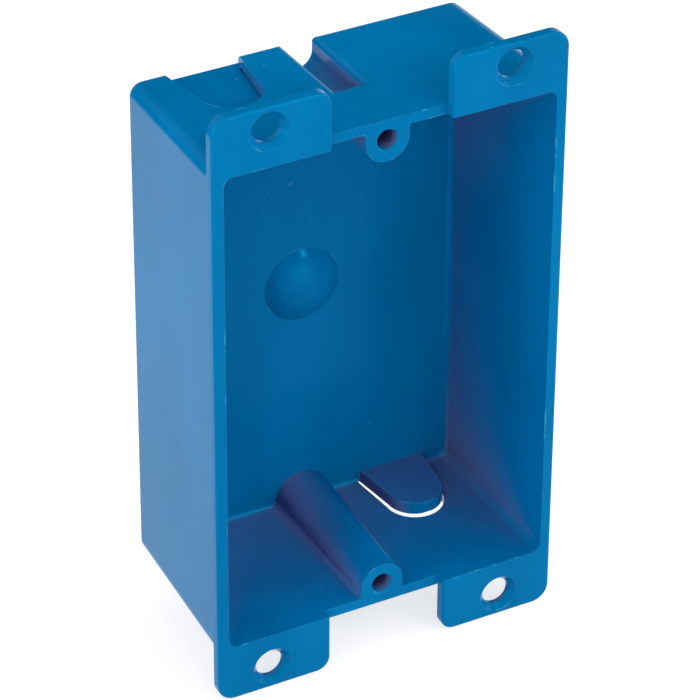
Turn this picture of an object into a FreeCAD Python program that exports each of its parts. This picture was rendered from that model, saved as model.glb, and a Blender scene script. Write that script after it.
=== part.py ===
import FreeCAD, Part
import math
import os

# Single gang old work box for drywall, injection moulded in one piece.
# It is a shallow open tub with an ear at each corner of its mouth, a screw boss
# in the middle of its top and bottom walls, and two cable tabs cut from them.
# Frame: X is the width, the mouth faces -Y, the back lies at +Y, and Z is up.
# The origin lies midway between the two device screws, in the plane of their boss
# faces. That plane is also the front of the drywall. Millimetres throughout.

V = FreeCAD.Vector

# Flange, mouth and tub, from the flange's sides inwards
FLANGE_WIDTH = 61.0          # over the outer sides of the ears
STRIP_WIDTH = 1.9            # flange beside the mouth
TUB_STEP = 0.2               # tub's side in from the flange's
FLANGE_THICKNESS = 1.8       # the ears and side strips stand this far in front of the rim
FLANGE_EDGE_RADIUS = 0.45    # rounding of the flange's outer front edge
MOUTH_WIDTH = FLANGE_WIDTH - 2 * STRIP_WIDTH
TUB_WIDTH = FLANGE_WIDTH - 2 * TUB_STEP

# Heights, from the device screws outwards
SCREW_SPACING = 83.34        # 3-9/32 in, standard for a single gang
SCREW_TO_MOUTH = 1.93        # screw's centre to the mouth's edge at the flange face
RIM_THICKNESS = 1.7          # top or bottom wall at the rim
EAR_HEIGHT = 8.65            # ear above the tub
MOUTH_HEIGHT = SCREW_SPACING + 2 * SCREW_TO_MOUTH
TUB_HEIGHT = MOUTH_HEIGHT + 2 * RIM_THICKNESS
FLANGE_HEIGHT = TUB_HEIGHT + 2 * EAR_HEIGHT

# Ears and their screw holes
EAR_GAP = FLANGE_WIDTH / 3 + 0.37    # between the left and right ears
EAR_OUTER_RADIUS = 3.0       # corner at the box's side
EAR_INNER_RADIUS = 2.4       # corner at the gap
EAR_HOLE_DIAMETER = 4.8
EAR_SINK_DIAMETER = 6.7
EAR_SINK_ANGLE = 82.0        # degrees, whole angle of the countersink
EAR_HOLE_FROM_SIDE = 9.6     # hole's centre to the flange's side
EAR_HOLE_FROM_END = 4.1      # hole's centre to the ear's top or bottom

# Tub
TUB_DEPTH = 29.95            # from the rim to the back face
TUB_CORNER_RADIUS = 2.3
MOUTH_RADIUS = 1.5
BACK_EDGE_RADIUS = 1.0
WALL = 1.8
DRAFT = 2.2                  # degrees, on every wall, towards the back
FLOOR_RADIUS = 1.1           # inside, where the back wall meets the others

# Device screw bosses, with an open channel behind each for the screw's end
SCREW_HOLE_DIAMETER = 3.4
SCREW_HOLE_CHAMFER = 0.25
BOSS_FRONT_RADIUS = 3.75
BOSS_BACK_RADIUS = 4.8
BOSS_FRONT_FOOT = 0.4        # radius of the fillet between the boss and the wall, at the rim
BOSS_BACK_FOOT = 1.8         # the same at the back wall
CHANNEL_LENGTH = 18.4        # from the back face to the solid part of the boss
CHANNEL_FRONT_RADIUS = 2.5
CHANNEL_BACK_RADIUS = 2.75
CHANNEL_LIP_RADIUS = 1.0

# Cable tabs, one at the top left and one at the bottom right
SLOT_FROM_SIDE = 13.65       # slot's middle to the tub's side
SLOT_BACK_WIDTH = 13.0       # at the back face
SLOT_END_RADIUS = 5.1
SLOT_LENGTH = 15.38          # from the back face to the slot's rounded end
TAB_OFFSET = 0.18            # tab's middle beyond the slot's, towards the tub's side
TAB_END_CLEARANCE = 0.65     # slit in front of the tab
TAB_SIDE_CLEARANCE = 0.35    # mean slit at the tab's two sides
TAB_RISE = 1.9               # tab's inner face above the wall's, where it meets the back wall
TAB_END_SINK = 1.95          # tab's outer face below the tub's, at the rounded end
TAB_BACK_SINK = 1.45         # the same at the back edge
TAB_EDGE_RADIUS = 0.45       # inner edge of the tab's rounded end

# Round dome in the middle of the back wall, hollow behind
DOME_DIAMETER = 13.4
DOME_HEIGHT = 2.9

# Mark left by the mould's gate on the right side of the flange
GATE_LENGTH = 4.8
GATE_HEIGHT = 0.22
GATE_Z = 4.6

OVERCUT = 1.0                # how far cutting tools pass the face that they cut

SLOPE = math.tan(math.radians(DRAFT))
FRONT = -FLANGE_THICKNESS
INNER_BACK = TUB_DEPTH - WALL
SCREW_Z = SCREW_SPACING / 2
CHANNEL_START = TUB_DEPTH - CHANNEL_LENGTH
SLOT_X = TUB_WIDTH / 2 - SLOT_FROM_SIDE
TAB_X = SLOT_X + TAB_OFFSET
SLOT_START = TUB_DEPTH - SLOT_LENGTH


def tub_half_height(y):
    """Outside half height of the tub at a depth behind the rim."""
    return TUB_HEIGHT / 2 - SLOPE * y


def cavity_half_height(y):
    """Inside half height of the tub at a depth behind the rim."""
    return MOUTH_HEIGHT / 2 - SLOPE * (y - FRONT)


def arc(start, middle, end):
    """Edge of a circle through three points."""
    return Part.Arc(start, middle, end).toShape()


def line(start, end):
    """Straight edge."""
    return Part.LineSegment(start, end).toShape()


def mirror(point):
    """The same point on the other side of the box's middle plane."""
    return V(-point.x, point.y, point.z)


def rounded_outline(corners, place):
    """Closed wire through (u, v, radius) corners, each rounded by its own radius."""
    points = [V(u, v, 0) for u, v, radius in corners]
    count = len(points)
    spans = []
    for i, (u, v, radius) in enumerate(corners):
        before = (points[i - 1] - points[i]).normalize()
        after = (points[(i + 1) % count] - points[i]).normalize()
        if radius == 0:
            spans.append((points[i], None, points[i]))
            continue
        half = before.getAngle(after) / 2
        reach = radius / math.tan(half)
        centre = points[i] + (before + after).normalize() * (radius / math.sin(half))
        middle = centre + (points[i] - centre).normalize() * radius
        spans.append((points[i] + before * reach, middle, points[i] + after * reach))
    edges = []
    for i, (start, middle, end) in enumerate(spans):
        if middle is not None:
            edges.append(arc(place(start), place(middle), place(end)))
        following = spans[(i + 1) % count][0]
        if end.distanceToPoint(following) > 1e-6:
            edges.append(line(place(end), place(following)))
    return Part.Wire(edges)


def at_depth(y):
    """Places a flat outline in the plane of constant depth, u along X and v along Z."""
    return lambda p: V(p.x, y, p.y)


def corner_ring(width, height, y):
    """Four corner points of a rectangle about the box's axis, in order, at one depth."""
    w = width / 2
    h = height / 2
    return [V(-w, y, -h), V(w, y, -h), V(w, y, h), V(-w, y, h)]


def flat(points):
    """Flat face through points in order."""
    return Part.Face(Part.makePolygon(points + points[:1]))


def tapered_block(width, height, radius, start, end):
    """Solid with the draft on its four flat sides, wide at the start, its long edges rounded."""
    shrink = 2 * SLOPE * (end - start)
    first = corner_ring(width, height, start)
    last = corner_ring(width - shrink, height - shrink, end)
    faces = [flat(first), flat(last)]
    for i in range(4):
        j = (i + 1) % 4
        faces.append(flat([first[i], first[j], last[j], last[i]]))
    block = Part.Solid(Part.Shell(faces))
    if block.Volume < 0:
        block.reverse()
    long_edges = [e for e in block.Edges if abs(e.Vertexes[0].Y - e.Vertexes[1].Y) > OVERCUT]
    return block.makeFillet(radius, long_edges)


def edges_at_depth(shape, y):
    """Edges that lie wholly in the plane of one depth."""
    return [e for e in shape.Edges if all(abs(v.Point.y - y) < 1e-4 for v in e.Vertexes)]


def flange_half():
    """Left strip with its upper and lower ear; its inner edge is left to the cavity's cut."""
    outer = FLANGE_WIDTH / 2
    inner = MOUTH_WIDTH / 2 - WALL
    gap = EAR_GAP / 2
    top = FLANGE_HEIGHT / 2
    sill = MOUTH_HEIGHT / 2 - WALL
    corners = [
        (-outer, -top, EAR_OUTER_RADIUS), (-gap, -top, EAR_INNER_RADIUS),
        (-gap, -sill, 0), (-inner, -sill, 0), (-inner, sill, 0), (-gap, sill, 0),
        (-gap, top, EAR_INNER_RADIUS), (-outer, top, EAR_OUTER_RADIUS)]
    plate = Part.Face(rounded_outline(corners, at_depth(0))).extrude(V(0, FRONT, 0))

    def on_outside(edge):
        middle = edge.valueAt((edge.FirstParameter + edge.LastParameter) / 2)
        return middle.x < -inner - WALL / 2 or abs(middle.z) > sill + WALL / 2

    rim = [e for e in edges_at_depth(plate, FRONT) if on_outside(e)]
    return plate.makeFillet(FLANGE_EDGE_RADIUS, rim)


def tub_outside():
    """Outer form of the tub, rounded round its back face."""
    block = tapered_block(TUB_WIDTH, TUB_HEIGHT, TUB_CORNER_RADIUS, 0, TUB_DEPTH)
    return block.makeFillet(BACK_EDGE_RADIUS, edges_at_depth(block, TUB_DEPTH))


def cavity():
    """Space inside the box, open at the mouth and rounded where it meets the back wall."""
    spread = 2 * SLOPE * OVERCUT
    block = tapered_block(
        MOUTH_WIDTH + spread, MOUTH_HEIGHT + spread, MOUTH_RADIUS, FRONT - OVERCUT, INNER_BACK)
    return block.makeFillet(FLOOR_RADIUS, edges_at_depth(block, INNER_BACK))


def u_section(y, radius, roof):
    """Cross section of half a circle about the upper screw, with straight sides up to the roof."""
    side = V(radius, y, SCREW_Z)
    top = V(radius, y, roof)
    return Part.Wire([
        arc(mirror(side), V(0, y, SCREW_Z - radius), side), line(side, top),
        line(top, mirror(top)), line(mirror(top), mirror(side))])


def corner_section(y, x, z, radius, reach):
    """Cross section of the material in a corner between an upright wall and a level one above it.

    Its hollow side has the given radius and meets both walls smoothly. The walls meet at x, z,
    and the section reaches some way into both of them.
    """
    bend = radius * (1 - math.sqrt(0.5))
    neck = V(x, y, z - radius)
    knee = V(x + bend, y, z - bend)
    foot = V(x + radius, y, z)
    inside = [foot, V(foot.x, y, z + reach), V(x - reach, y, z + reach), V(x - reach, y, neck.z), neck]
    return Part.Wire([arc(neck, knee, foot)] + [line(a, b) for a, b in zip(inside, inside[1:])])


def corner_strip(start, end, x, z, radius, growth, reach):
    """Strip of one radius in a corner that falls with the draft and moves out by the growth."""
    length = end - start
    section = Part.Face(corner_section(start, x, z, radius, reach))
    return section.extrude(V(growth * length, length, -SLOPE * length))


def u_form(start, end, first_radius, last_radius, wall, strip, reach):
    """Half round form about the upper screw, rounded by a strip where each side meets the wall."""
    core = Part.makeLoft([
        u_section(start, first_radius, wall(start) + reach),
        u_section(end, last_radius, wall(end) + reach)], True, True)
    return core.fuse([strip, strip.mirror(V(0, 0, 0), V(1, 0, 0))])


def boss():
    """Upper screw boss, which widens towards the back wall, as do the fillets at its feet."""
    end = INNER_BACK + WALL / 2
    reach = WALL / 2
    feet = Part.makeLoft([
        corner_section(0, BOSS_FRONT_RADIUS, cavity_half_height(0), BOSS_FRONT_FOOT, reach),
        corner_section(end, BOSS_BACK_RADIUS, cavity_half_height(end), BOSS_BACK_FOOT, reach)],
        True, True)
    return u_form(0, end, BOSS_FRONT_RADIUS, BOSS_BACK_RADIUS, cavity_half_height, feet, reach)


def channel():
    """Cutter for the upper channel, from the solid boss to past the back face."""
    end = TUB_DEPTH + OVERCUT
    growth = (CHANNEL_BACK_RADIUS - CHANNEL_FRONT_RADIUS) / CHANNEL_LENGTH
    last_radius = CHANNEL_BACK_RADIUS + growth * OVERCUT
    lips = corner_strip(CHANNEL_START, end, CHANNEL_FRONT_RADIUS, tub_half_height(CHANNEL_START),
                        CHANNEL_LIP_RADIUS, growth, OVERCUT)
    return u_form(CHANNEL_START, end, CHANNEL_FRONT_RADIUS, last_radius, tub_half_height, lips, OVERCUT)


def screw_hole():
    """Cutter for the upper device screw hole, chamfered at the boss face."""
    radius = SCREW_HOLE_DIAMETER / 2
    away = V(0, 1, 0)
    bore = Part.makeCylinder(radius, CHANNEL_START + 2 * OVERCUT, V(0, -OVERCUT, SCREW_Z), away)
    wide = radius + SCREW_HOLE_CHAMFER
    lead = Part.makeCone(wide, radius, SCREW_HOLE_CHAMFER, V(0, 0, SCREW_Z), away)
    return bore.fuse(lead)


def ear_hole(x, z):
    """Cutter for one ear screw: a clearance hole with a countersink in the flange face."""
    hole = EAR_HOLE_DIAMETER / 2
    sink = EAR_SINK_DIAMETER / 2
    depth = (sink - hole) / math.tan(math.radians(EAR_SINK_ANGLE / 2))
    away = V(0, 1, 0)
    bore = Part.makeCylinder(hole, FLANGE_THICKNESS + 2 * OVERCUT, V(x, FRONT - OVERCUT, z), away)
    cone = Part.makeCone(sink, hole, depth, V(x, FRONT, z), away)
    return bore.fuse(cone)


def tongue_plan(x, end_radius, back_half, front, back, low, high):
    """Upright prism with a round end at the front and straight sides that spread backwards."""
    turn = front + end_radius
    left = V(x - end_radius, turn, low)
    right = V(x + end_radius, turn, low)
    rear_left = V(x - back_half, back, low)
    rear_right = V(x + back_half, back, low)
    outline = Part.Wire([
        line(rear_left, left), arc(left, V(x, front, low), right),
        line(right, rear_right), line(rear_right, rear_left)])
    return Part.Face(outline).extrude(V(0, 0, high - low))


def tab_inner_height():
    """Height of the upper tab's inner face, which is square to the back wall."""
    return cavity_half_height(INNER_BACK) - TAB_RISE


def slot_half_width(y):
    """Half width of the slot behind its rounded end."""
    turn = SLOT_START + SLOT_END_RADIUS
    return SLOT_END_RADIUS + (SLOT_BACK_WIDTH / 2 - SLOT_END_RADIUS) * (y - turn) / (TUB_DEPTH - turn)


def slot_prism(back, low, high):
    """Slot that frees the upper tab, from its rounded end to a given depth."""
    return tongue_plan(
        -SLOT_X, SLOT_END_RADIUS, slot_half_width(back), SLOT_START, back, low, high)


def tab_profile():
    """Side view of the upper tab and its root, in depth and height."""
    tip = SLOT_START + TAB_END_CLEARANCE
    inner = tab_inner_height()
    corners = [
        (tip, tub_half_height(tip) - TAB_END_SINK, TAB_EDGE_RADIUS / 3),
        (TUB_DEPTH, tub_half_height(TUB_DEPTH) - TAB_BACK_SINK, TAB_EDGE_RADIUS / 3),
        (TUB_DEPTH, inner - WALL / 4, 0), (INNER_BACK + WALL / 4, inner - WALL / 4, 0),
        (INNER_BACK + WALL / 4, inner, 0), (tip, inner, TAB_EDGE_RADIUS)]
    outline = rounded_outline(corners, lambda p: V(-FLANGE_WIDTH / 2, p.x, p.y))
    return Part.Face(outline).extrude(V(FLANGE_WIDTH / 2, 0, 0))


def tab():
    """Upper tab: a flat tongue with a rounded free end, on a root that fills the slot's end."""
    low = tab_inner_height() - WALL
    high = TUB_HEIGHT / 2 + OVERCUT
    profile = tab_profile()
    tip = SLOT_START + TAB_END_CLEARANCE
    nose = SLOT_END_RADIUS - TAB_SIDE_CLEARANCE
    seat = INNER_BACK + WALL / 4
    tongue = tongue_plan(
        -TAB_X, nose, slot_half_width(seat) - TAB_SIDE_CLEARANCE, tip, seat, low, high)
    root = slot_prism(TUB_DEPTH, low, high)
    behind = Part.makeBox(FLANGE_WIDTH, WALL, high, V(-FLANGE_WIDTH, INNER_BACK, 0))
    return profile.common(tongue).fuse(profile.common(root.common(behind)))


def dome(shrink):
    """Cap of a ball that stands on the inner back wall; a smaller one hollows it from behind."""
    radius = DOME_DIAMETER / 2
    ball = (radius ** 2 + DOME_HEIGHT ** 2) / (2 * DOME_HEIGHT)
    centre = V(0, INNER_BACK - DOME_HEIGHT + ball, 0)
    front = INNER_BACK - 2 * DOME_HEIGHT
    corner = V(-DOME_DIAMETER / 2, front, -DOME_DIAMETER / 2)
    near = Part.makeBox(DOME_DIAMETER, TUB_DEPTH + OVERCUT - front, DOME_DIAMETER, corner)
    return Part.makeSphere(ball - shrink, centre).common(near)


def gate_mark():
    """Low rounded bump where the gate was trimmed from the side of the flange."""
    side = FLANGE_WIDTH / 2
    half = GATE_LENGTH / 2
    y = FRONT / 2
    bump = Part.Wire([
        arc(V(side, y, GATE_Z - half), V(side + GATE_HEIGHT, y, GATE_Z), V(side, y, GATE_Z + half)),
        line(V(side, y, GATE_Z + half), V(side - WALL / 2, y, GATE_Z)),
        line(V(side - WALL / 2, y, GATE_Z), V(side, y, GATE_Z - half))])
    return Part.Face(bump).extrude(V(0, FLANGE_THICKNESS / 2, 0))


def half_turn(shape):
    """Copy turned half a turn about the box's axis, for what the top and bottom share."""
    copy = shape.copy()
    copy.rotate(V(0, 0, 0), V(0, 1, 0), 180)
    return copy


def box_body():
    """The whole moulding."""
    left = flange_half()
    shell = tub_outside().fuse([left, half_turn(left)])
    ridge = boss()
    hollow = cavity().cut([ridge, half_turn(ridge), dome(0)])
    body = shell.cut([hollow, dome(WALL)])
    for cutter in (channel(), screw_hole()):
        body = body.cut([cutter, half_turn(cutter)])
    slot = slot_prism(TUB_DEPTH + OVERCUT, tab_inner_height(), TUB_HEIGHT / 2 + OVERCUT)
    body = body.cut([slot, half_turn(slot)])
    tongue = tab()
    body = body.fuse([tongue, half_turn(tongue)])
    x = FLANGE_WIDTH / 2 - EAR_HOLE_FROM_SIDE
    z = FLANGE_HEIGHT / 2 - EAR_HOLE_FROM_END
    body = body.cut([ear_hole(sx * x, sz * z) for sx in (-1, 1) for sz in (-1, 1)])
    return body.fuse(gate_mark()).removeSplitter()


os.makedirs("parts", exist_ok=True)
shape = box_body()
print("solids", len(shape.Solids), "valid", shape.isValid(), "volume", round(shape.Volume, 1))
shape.exportStep("parts/box_body.step")
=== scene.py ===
"""Looks for a moulded drywall back box: its glossy blue plastic, and a plain studio.

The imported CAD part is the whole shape. Lengths are in metres in the part's frame: X is the width,
the mouth faces -Y, and Z is up.
"""
import math

import bpy
from bpy.props import FloatProperty, FloatVectorProperty, PointerProperty
from mathutils import Matrix, Vector


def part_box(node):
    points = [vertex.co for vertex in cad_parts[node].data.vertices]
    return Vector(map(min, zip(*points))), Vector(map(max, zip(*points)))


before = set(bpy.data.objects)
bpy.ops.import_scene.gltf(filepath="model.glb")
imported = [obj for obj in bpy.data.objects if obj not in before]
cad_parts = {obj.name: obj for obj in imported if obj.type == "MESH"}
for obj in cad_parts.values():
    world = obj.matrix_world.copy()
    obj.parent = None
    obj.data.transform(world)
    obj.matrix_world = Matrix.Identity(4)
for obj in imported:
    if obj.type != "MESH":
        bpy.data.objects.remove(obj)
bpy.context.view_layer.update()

bl_info = {
    "name": "Drywall Back Box",
    "version": (1, 0, 0),
    "blender": (4, 5, 0),
    "location": "View3D > Sidebar > Back Box",
    "description": "Finishes a moulded drywall back box and sets a plain studio round it",
    "category": "Object",
}

BODY_NODE = "box_body"
WHITE = (1, 1, 1, 1)

# Name, place, size and power setting of each lamp.
LAMPS = (
    ("left lamp", (-0.90, -0.08, 0.05), 0.80, "left_power"),
    ("right lamp", (0.90, -0.30, 0.10), 0.70, "right_power"),
    ("front lamp", (0.10, -0.95, 0.14), 0.70, "front_power"),
    ("small lamp", (0.39, -0.62, 0.67), 0.16, "spark_power"),
)
LAMP_TARGET = (0, 0.01, 0)
FLOOR_HALF = 3.0
FLOOR_COLOUR = (0.62, 0.62, 0.62, 1)
FLOOR_GLOW = 0.66
SENSOR_WIDTH = 36
CLIP_START = 0.01

# Scale and detail of each noise.
FLOW_NOISE = (60, 4)
SPOT_NOISE = (900, 2)
PATCH_NOISE = (45, 2)
# Breaks up the painted highlight lines along the edges.
PAINTED_GLINT_NOISE = (260, 3)
RIPPLE_NOISE = (700, 2)
GLOSS_NOISE = (130, 5)

# Source values between which each ramp goes from 0 to 1.
FLOW_BAND = (0.3, 0.7)
SPOT_BAND = (0.69, 0.77)
PATCH_BAND = (0.52, 0.70)
# Where the painted highlight lines break.
PAINTED_GLINT_BAND = (0.56, 0.66)
EDGE_BAND = (0.995, 0.90)
# The next five bands shape painted shade: deep corners, screw holes, off the middle, by facing.
RECESS_SHADE_BAND = (0.48, 0.22)
HOLE_SHADE_BAND = (0.22, 0.07)
OFF_MIDDLE_BAND = (0.007, 0.016)
LEFTWARD_BAND = (0.55, -0.45)
OFF_BACK_BAND = (0.9, 0.5)

# Band of facing and share of mirrored light, for the roundings turned at the eye, the front faces,
# the outer sides and the grazing faces. Facing is 0 for a face that is seen squarely.
MIRROR_SHARES = (
    ((0.20, 0.10), 0.80),
    ((0.46, 0.36), 0.15),
    ((0.54, 0.62), 0.25),
    ((0.67, 0.80), 0.80),
)
USUAL_SPECULAR = 0.5
FLOW_STRETCH = (1.0, 1.0, 0.35)
FLOW_DEEP = 0.90
FLOW_LIGHT = 1.08
# Paler edges: partly wear, partly painted highlight.
EDGE_WEAR_AND_SHEEN = 0.15
RIPPLE_STRENGTH = 0.25
RIPPLE_HEIGHT = 0.00004
ROUGHNESS_BELOW = 0.04
ROUGHNESS_ABOVE = 0.08
TRACED_SAMPLES = 8


class BackBoxPlastic(bpy.types.PropertyGroup):
    """Colour and finish of the moulding"""

    body_colour: FloatVectorProperty(
        name="Body colour", description="Pigment of the plastic, linear",
        subtype="COLOR", size=3, min=0, max=1, default=(0.0, 0.195, 0.470))
    # Used for the scuffs, which are wear, and for the paler edges, partly painted highlight.
    scuff_and_sheen_colour: FloatVectorProperty(
        name="Scuff colour", description="Colour of scuffed and stressed plastic, linear",
        subtype="COLOR", size=3, min=0, max=1, default=(0.10, 0.40, 0.66))
    roughness: FloatProperty(
        name="Roughness", description="Roughness of the polished mould's surface",
        min=0, max=1, default=0.15)
    ior: FloatProperty(
        name="Index of refraction", description="Sets how much the surface mirrors",
        min=1, max=2, default=1.46)
    gloss_tint: FloatVectorProperty(
        name="Gloss tint", description="Colour that the pigment gives to mirrored light, linear",
        subtype="COLOR", size=3, min=0, max=1, default=(0.0, 0.55, 0.90))
    # Painted shade: a duller purplish colour laid on deep corners found by ambient occlusion.
    painted_shade_colour: FloatVectorProperty(
        name="Recess colour", description="Duller colour of the film in deep corners, linear",
        subtype="COLOR", size=3, min=0, max=1, default=(0.22, 0.25, 0.50))
    # Painted shade: a near-black laid deep inside the screw holes.
    hole_shade_colour: FloatVectorProperty(
        name="Hole colour", description="Dark colour deep inside the screw holes, linear",
        subtype="COLOR", size=3, min=0, max=1, default=(0.02, 0.02, 0.15))
    recess_depth: FloatProperty(
        name="Recess depth", description="How far away a facing wall still makes a recess",
        min=0, max=0.2, default=0.05, unit="LENGTH")
    edge_radius: FloatProperty(
        name="Edge radius", description="Rounding that the shading gives to sharp edges",
        min=0, max=0.002, default=0.00018, unit="LENGTH", precision=5)
    scuff_amount: FloatProperty(
        name="Scuffs", description="Strength of the small pale scuffs",
        min=0, max=1, default=0.5)
    # Painted highlight: broken bright lines along the edges, laid into the colour.
    painted_glint_colour: FloatVectorProperty(
        name="Glint colour", description="Colour of the broken bright lines, linear",
        subtype="COLOR", size=3, min=0, max=1, default=(0.08, 0.52, 0.80))
    painted_glint_width: FloatProperty(
        name="Glint width", description="Reach of the broken bright line along an edge",
        min=0, max=0.002, default=0.0005, unit="LENGTH", precision=5)
    painted_glint_amount: FloatProperty(
        name="Glints", description="Strength of the broken bright lines along the edges",
        min=0, max=1, default=0.6)


class BackBoxStudio(bpy.types.PropertyGroup):
    """Camera, lamps and world"""

    camera_place: FloatVectorProperty(
        name="Camera place", description="Where the camera stands",
        subtype="TRANSLATION", size=3, unit="LENGTH", default=(-0.26102, -0.47311, 0.36212))
    camera_turn: FloatProperty(
        name="Camera turn", description="Turn of the view about Z, from straight at the mouth",
        subtype="ANGLE", default=0.4940370)
    camera_tilt: FloatProperty(
        name="Camera tilt", description="Tilt of the view below the horizon",
        subtype="ANGLE", default=0.5857855)
    camera_roll: FloatProperty(
        name="Camera roll", description="Turn of the picture about the line of sight",
        subtype="ANGLE", default=0.0072867)
    lens: FloatProperty(
        name="Lens", description="Focal length on a 36 mm sensor, in millimetres",
        min=1, default=213.874)
    left_power: FloatProperty(
        name="Left lamp", description="Power of the broad lamp at the left",
        min=0, default=5.8, unit="POWER")
    right_power: FloatProperty(
        name="Right lamp", description="Power of the broad lamp at the right",
        min=0, default=4.7, unit="POWER")
    front_power: FloatProperty(
        name="Front lamp", description="Power of the broad lamp in front",
        min=0, default=2.2, unit="POWER")
    spark_power: FloatProperty(
        name="Small lamp", description="Power of the small high lamp that makes the bright spots",
        min=0, default=0.8, unit="POWER")
    world_level: FloatProperty(
        name="Room light", description="Brightness of the even light from all round",
        min=0, default=0.62)


def rgba(colour):
    """Opaque colour with four parts."""
    return (*colour, 1)


def feed(tree, target, value):
    """Links an input to a socket, or sets it to a plain value."""
    if isinstance(value, bpy.types.NodeSocket):
        tree.links.new(value, target)
    else:
        target.default_value = value


def add_node(tree, kind, **inputs):
    """Adds a node and feeds its inputs, whose names have underscores for spaces."""
    node = tree.nodes.new(kind)
    for name, value in inputs.items():
        feed(tree, node.inputs[name.replace("_", " ")], value)
    return node


def maths(tree, operation, *values, kind="ShaderNodeMath"):
    """Result of one step of arithmetic on sockets or plain values."""
    node = tree.nodes.new(kind)
    node.operation = operation
    for target, value in zip(node.inputs, values):
        feed(tree, target, value)
    return node.outputs["Value"]


def product(tree, first, second):
    """First value times second."""
    return maths(tree, "MULTIPLY", first, second)


def ramp(tree, source, band):
    """Value that goes smoothly from 0 at the band's start to 1 at its end along the source."""
    node = add_node(tree, "ShaderNodeMapRange", Value=source, From_Min=band[0], From_Max=band[1])
    node.interpolation_type = "SMOOTHSTEP"
    return node.outputs["Result"]


def mixed(tree, amount, first, second):
    """Colour between two, each a socket or a plain colour with four parts."""
    node = tree.nodes.new("ShaderNodeMix")
    node.data_type = "RGBA"
    feed(tree, node.inputs["Factor"], amount)
    colour_inputs = [s for s in node.inputs if s.type == "RGBA"]
    for target, value in zip(colour_inputs, (first, second)):
        feed(tree, target, value)
    return [s for s in node.outputs if s.type == "RGBA"][0]


def noise(tree, place, kind):
    """Noise value over the given coordinates, with its scale and detail."""
    scale, detail = kind
    node = add_node(tree, "ShaderNodeTexNoise", Vector=place, Scale=scale, Detail=detail)
    return node.outputs["Fac"]


# Its mask makes the paler edges and the painted highlight lines.
def edge_mask_and_normal(tree, radius):
    """Value that rises from 0 where a sharp edge would be rounded, and the rounded normal."""
    bevel = add_node(tree, "ShaderNodeBevel", Radius=radius)
    bevel.samples = TRACED_SAMPLES
    rounded = bevel.outputs["Normal"]
    flat = tree.nodes.new("ShaderNodeNewGeometry").outputs["Normal"]
    agreement = maths(tree, "DOT_PRODUCT", rounded, flat, kind="ShaderNodeVectorMath")
    return ramp(tree, agreement, EDGE_BAND), rounded


def off_middle(tree, place):
    """Value that rises from 0 away from the line through the middle of the mouth and the dome."""
    across = add_node(tree, "ShaderNodeMapping", Vector=place, Scale=(1, 0, 1)).outputs["Vector"]
    distance = maths(tree, "LENGTH", across, kind="ShaderNodeVectorMath")
    return ramp(tree, distance, OFF_MIDDLE_BAND)


def painted_shade_side(tree, normal):
    """Painted shade by a face's direction: most to the left, none to the right or the mouth."""
    parts = add_node(tree, "ShaderNodeSeparateXYZ", Vector=normal).outputs
    off_back = ramp(tree, maths(tree, "ABSOLUTE", parts["Y"]), OFF_BACK_BAND)
    return product(tree, ramp(tree, parts["X"], LEFTWARD_BAND), off_back)


def mirrored_share(tree, facing):
    """Specular level by the angle of view. It is nothing on the box's outer top."""
    total = 0
    for band, share in MIRROR_SHARES:
        total = maths(tree, "ADD", product(tree, ramp(tree, facing, band), share), total)
    return product(tree, total, USUAL_SPECULAR)


def flow_shades(tree, look, place):
    """Pigment with soft shades that are drawn out along the height."""
    stretched = add_node(tree, "ShaderNodeMapping", Vector=place, Scale=FLOW_STRETCH)
    flow = ramp(tree, noise(tree, stretched.outputs["Vector"], FLOW_NOISE), FLOW_BAND)
    deep, light = (rgba(c * share for c in look.body_colour) for share in (FLOW_DEEP, FLOW_LIGHT))
    return mixed(tree, flow, deep, light)


def with_painted_shade(tree, look, colour, coordinates):
    """Colour with painted shade: a duller purplish tint in deep corners, dark in the screw holes.
    """
    depth = add_node(tree, "ShaderNodeAmbientOcclusion", Distance=look.recess_depth)
    depth.samples = TRACED_SAMPLES
    depth.only_local = True
    openness = depth.outputs["AO"]
    # Painted shade: deep corners turn duller and purplish, most on faces turned to the left.
    recess = product(
        tree, ramp(tree, openness, RECESS_SHADE_BAND), painted_shade_side(tree, coordinates.outputs["Normal"]))
    painted_shade_share = product(tree, recess, off_middle(tree, coordinates.outputs["Object"]))
    colour = mixed(tree, painted_shade_share, colour, rgba(look.painted_shade_colour))
    # Painted shade: the screw holes made dark where ambient occlusion finds little open room.
    return mixed(tree, ramp(tree, openness, HOLE_SHADE_BAND), colour, rgba(look.hole_shade_colour))


def with_wear_and_highlights(tree, look, colour, place, edges):
    """Colour with scuffs, paler edges (wear and painted highlight) and painted highlight lines."""
    spots = ramp(tree, noise(tree, place, SPOT_NOISE), SPOT_BAND)
    patches = ramp(tree, noise(tree, place, PATCH_NOISE), PATCH_BAND)
    scuffs = product(tree, product(tree, spots, patches), look.scuff_amount)
    # Painted highlight: broken bright lines along the edges.
    crests = edge_mask_and_normal(tree, look.painted_glint_width)[0]
    broken = ramp(tree, noise(tree, place, PAINTED_GLINT_NOISE), PAINTED_GLINT_BAND)
    painted_glints = product(tree, product(tree, crests, broken), look.painted_glint_amount)
    colour = mixed(tree, scuffs, colour, rgba(look.scuff_and_sheen_colour))
    # Paler sharp edges: partly wear, partly painted highlight.
    colour = mixed(tree, product(tree, edges, EDGE_WEAR_AND_SHEEN), colour, rgba(look.scuff_and_sheen_colour))
    return mixed(tree, painted_glints, colour, rgba(look.painted_glint_colour))


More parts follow.
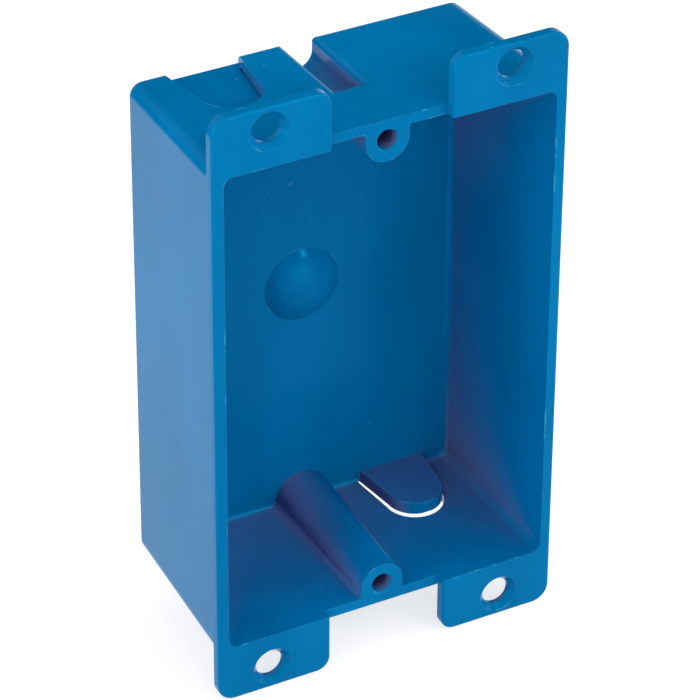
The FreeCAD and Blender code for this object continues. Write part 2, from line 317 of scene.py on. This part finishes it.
def moulded_plastic(look):
    """Glossy plastic with flow shades, painted shade and highlights, wear and a fine ripple."""
    material = bpy.data.materials.new("glossy blue plastic")
    material.use_nodes = True
    tree = material.node_tree
    shader = tree.nodes["Principled BSDF"]
    coordinates = tree.nodes.new("ShaderNodeTexCoord")
    place = coordinates.outputs["Object"]
    facing = add_node(tree, "ShaderNodeLayerWeight", Blend=0.5).outputs["Facing"]
    edges, soft_normal = edge_mask_and_normal(tree, look.edge_radius)

    colour = flow_shades(tree, look, place)
    colour = with_painted_shade(tree, look, colour, coordinates)
    colour = with_wear_and_highlights(tree, look, colour, place, edges)
    ripple = add_node(
        tree, "ShaderNodeBump", Strength=RIPPLE_STRENGTH, Distance=RIPPLE_HEIGHT,
        Height=noise(tree, place, RIPPLE_NOISE), Normal=soft_normal)
    rough = add_node(
        tree, "ShaderNodeMapRange", Value=noise(tree, place, GLOSS_NOISE),
        To_Min=look.roughness - ROUGHNESS_BELOW, To_Max=look.roughness + ROUGHNESS_ABOVE)

    for name, value in (
            ("Base Color", colour),
            ("Roughness", rough.outputs["Result"]),
            ("Normal", ripple.outputs["Normal"]),
            ("IOR", look.ior),
            ("Specular Tint", rgba(look.gloss_tint)),
            ("Specular IOR Level", mirrored_share(tree, facing))):
        feed(tree, shader.inputs[name], value)
    return material


def white_to_camera(tree, shaded, share):
    """Adds white light to a shader for rays from the camera, mirrors and glass alone."""
    path = tree.nodes.new("ShaderNodeLightPath").outputs
    seen = path["Is Camera Ray"]
    for name in ("Is Glossy Ray", "Is Transmission Ray"):
        seen = maths(tree, "MAXIMUM", seen, path[name])
    glow = add_node(tree, "ShaderNodeEmission", Color=WHITE, Strength=product(tree, seen, share))
    total = tree.nodes.new("ShaderNodeAddShader")
    tree.links.new(shaded, total.inputs[0])
    tree.links.new(glow.outputs[0], total.inputs[1])
    return total.outputs[0]


def floor_material():
    """Pale matt floor that shows white, with the object's shadow left on it."""
    material = bpy.data.materials.new("pale floor")
    material.use_nodes = True
    tree = material.node_tree
    tree.nodes.remove(tree.nodes["Principled BSDF"])
    matt = add_node(tree, "ShaderNodeBsdfDiffuse", Color=FLOOR_COLOUR)
    total = white_to_camera(tree, matt.outputs[0], FLOOR_GLOW)
    tree.links.new(total, tree.nodes["Material Output"].inputs["Surface"])
    return material


def area_lamp(name, place, size, power):
    """Square soft lamp that points at the box."""
    data = bpy.data.lights.new(name, "AREA")
    data.size = size
    data.energy = power
    lamp = bpy.data.objects.new(name, data)
    bpy.context.scene.collection.objects.link(lamp)
    lamp.location = place
    sight = Vector(LAMP_TARGET) - Vector(place)
    lamp.rotation_euler = sight.to_track_quat("-Z", "Y").to_euler()


class BACKBOX_OT_finish_moulding(bpy.types.Operator):
    """Give the moulded body its glossy plastic"""

    bl_idname = "backbox.finish_moulding"
    bl_label = "Finish Moulding"

    def execute(self, context):
        material = moulded_plastic(context.scene.back_box_plastic)
        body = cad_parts[BODY_NODE]
        for slot in body.material_slots:
            slot.material = material
        return {"FINISHED"}


class BACKBOX_OT_set_studio(bpy.types.Operator):
    """Set the floor, lamps, world and camera"""

    bl_idname = "backbox.set_studio"
    bl_label = "Set Studio"

    def execute(self, context):
        scene = context.scene
        studio = scene.back_box_studio
        self.lay_floor(scene)
        for name, place, size, power in LAMPS:
            area_lamp(name, place, size, getattr(studio, power))
        self.light_room(scene, studio)
        self.place_camera(scene, studio)
        scene.view_settings.view_transform = "Standard"
        return {"FINISHED"}

    def lay_floor(self, scene):
        """One large square at the height of the lowest ears."""
        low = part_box(BODY_NODE)[0][2]
        h = FLOOR_HALF
        corners = [(-h, -h, low), (h, -h, low), (h, h, low), (-h, h, low)]
        mesh = bpy.data.meshes.new("floor")
        mesh.from_pydata(corners, [], [(0, 1, 2, 3)])
        mesh.materials.append(floor_material())
        floor = bpy.data.objects.new("floor", mesh)
        scene.collection.objects.link(floor)

    def light_room(self, scene, studio):
        """Even light from all round, which the camera sees as white."""
        world = bpy.data.worlds.new("plain room")
        scene.world = world
        world.use_nodes = True
        tree = world.node_tree
        room = tree.nodes["Background"]
        feed(tree, room.inputs["Color"], WHITE)
        feed(tree, room.inputs["Strength"], studio.world_level)
        total = white_to_camera(tree, room.outputs[0], 1 - studio.world_level)
        tree.links.new(total, tree.nodes["World Output"].inputs["Surface"])

    def place_camera(self, scene, studio):
        """Camera whose place, turn, tilt, roll and lens were fitted to the box's edges."""
        turn = studio.camera_turn
        tilt = -studio.camera_tilt
        forward = Vector((
            math.sin(turn) * math.cos(tilt), math.cos(turn) * math.cos(tilt), math.sin(tilt)))
        right = Vector((math.cos(turn), -math.sin(turn), 0))
        upright = Matrix((right, right.cross(forward), -forward)).transposed()
        data = bpy.data.cameras.new("camera")
        data.sensor_width = SENSOR_WIDTH
        data.lens = studio.lens
        data.clip_start = CLIP_START
        camera = bpy.data.objects.new("camera", data)
        scene.collection.objects.link(camera)
        camera.location = studio.camera_place
        camera.rotation_euler = (upright @ Matrix.Rotation(studio.camera_roll, 3, "Z")).to_euler()
        scene.camera = camera


class BACKBOX_PT_panel(bpy.types.Panel):
    """Steps and settings of the back box"""

    bl_idname = "BACKBOX_PT_panel"
    bl_label = "Back Box"
    bl_space_type = "VIEW_3D"
    bl_region_type = "UI"
    bl_category = "Back Box"

    def draw(self, context):
        for group, operator in (
                (context.scene.back_box_plastic, BACKBOX_OT_finish_moulding),
                (context.scene.back_box_studio, BACKBOX_OT_set_studio)):
            box = self.layout.box()
            for name in group.__annotations__:
                box.prop(group, name)
            box.operator(operator.bl_idname)


CLASSES = (
    BackBoxPlastic, BackBoxStudio, BACKBOX_OT_finish_moulding, BACKBOX_OT_set_studio,
    BACKBOX_PT_panel)


def register():
    for cls in CLASSES:
        bpy.utils.register_class(cls)
    bpy.types.Scene.back_box_plastic = PointerProperty(type=BackBoxPlastic)
    bpy.types.Scene.back_box_studio = PointerProperty(type=BackBoxStudio)


def unregister():
    del bpy.types.Scene.back_box_studio
    del bpy.types.Scene.back_box_plastic
    for cls in reversed(CLASSES):
        bpy.utils.unregister_class(cls)


def main():
    register()
    bpy.ops.backbox.finish_moulding()
    bpy.ops.backbox.set_studio()


if __name__ == "__main__":
    main()
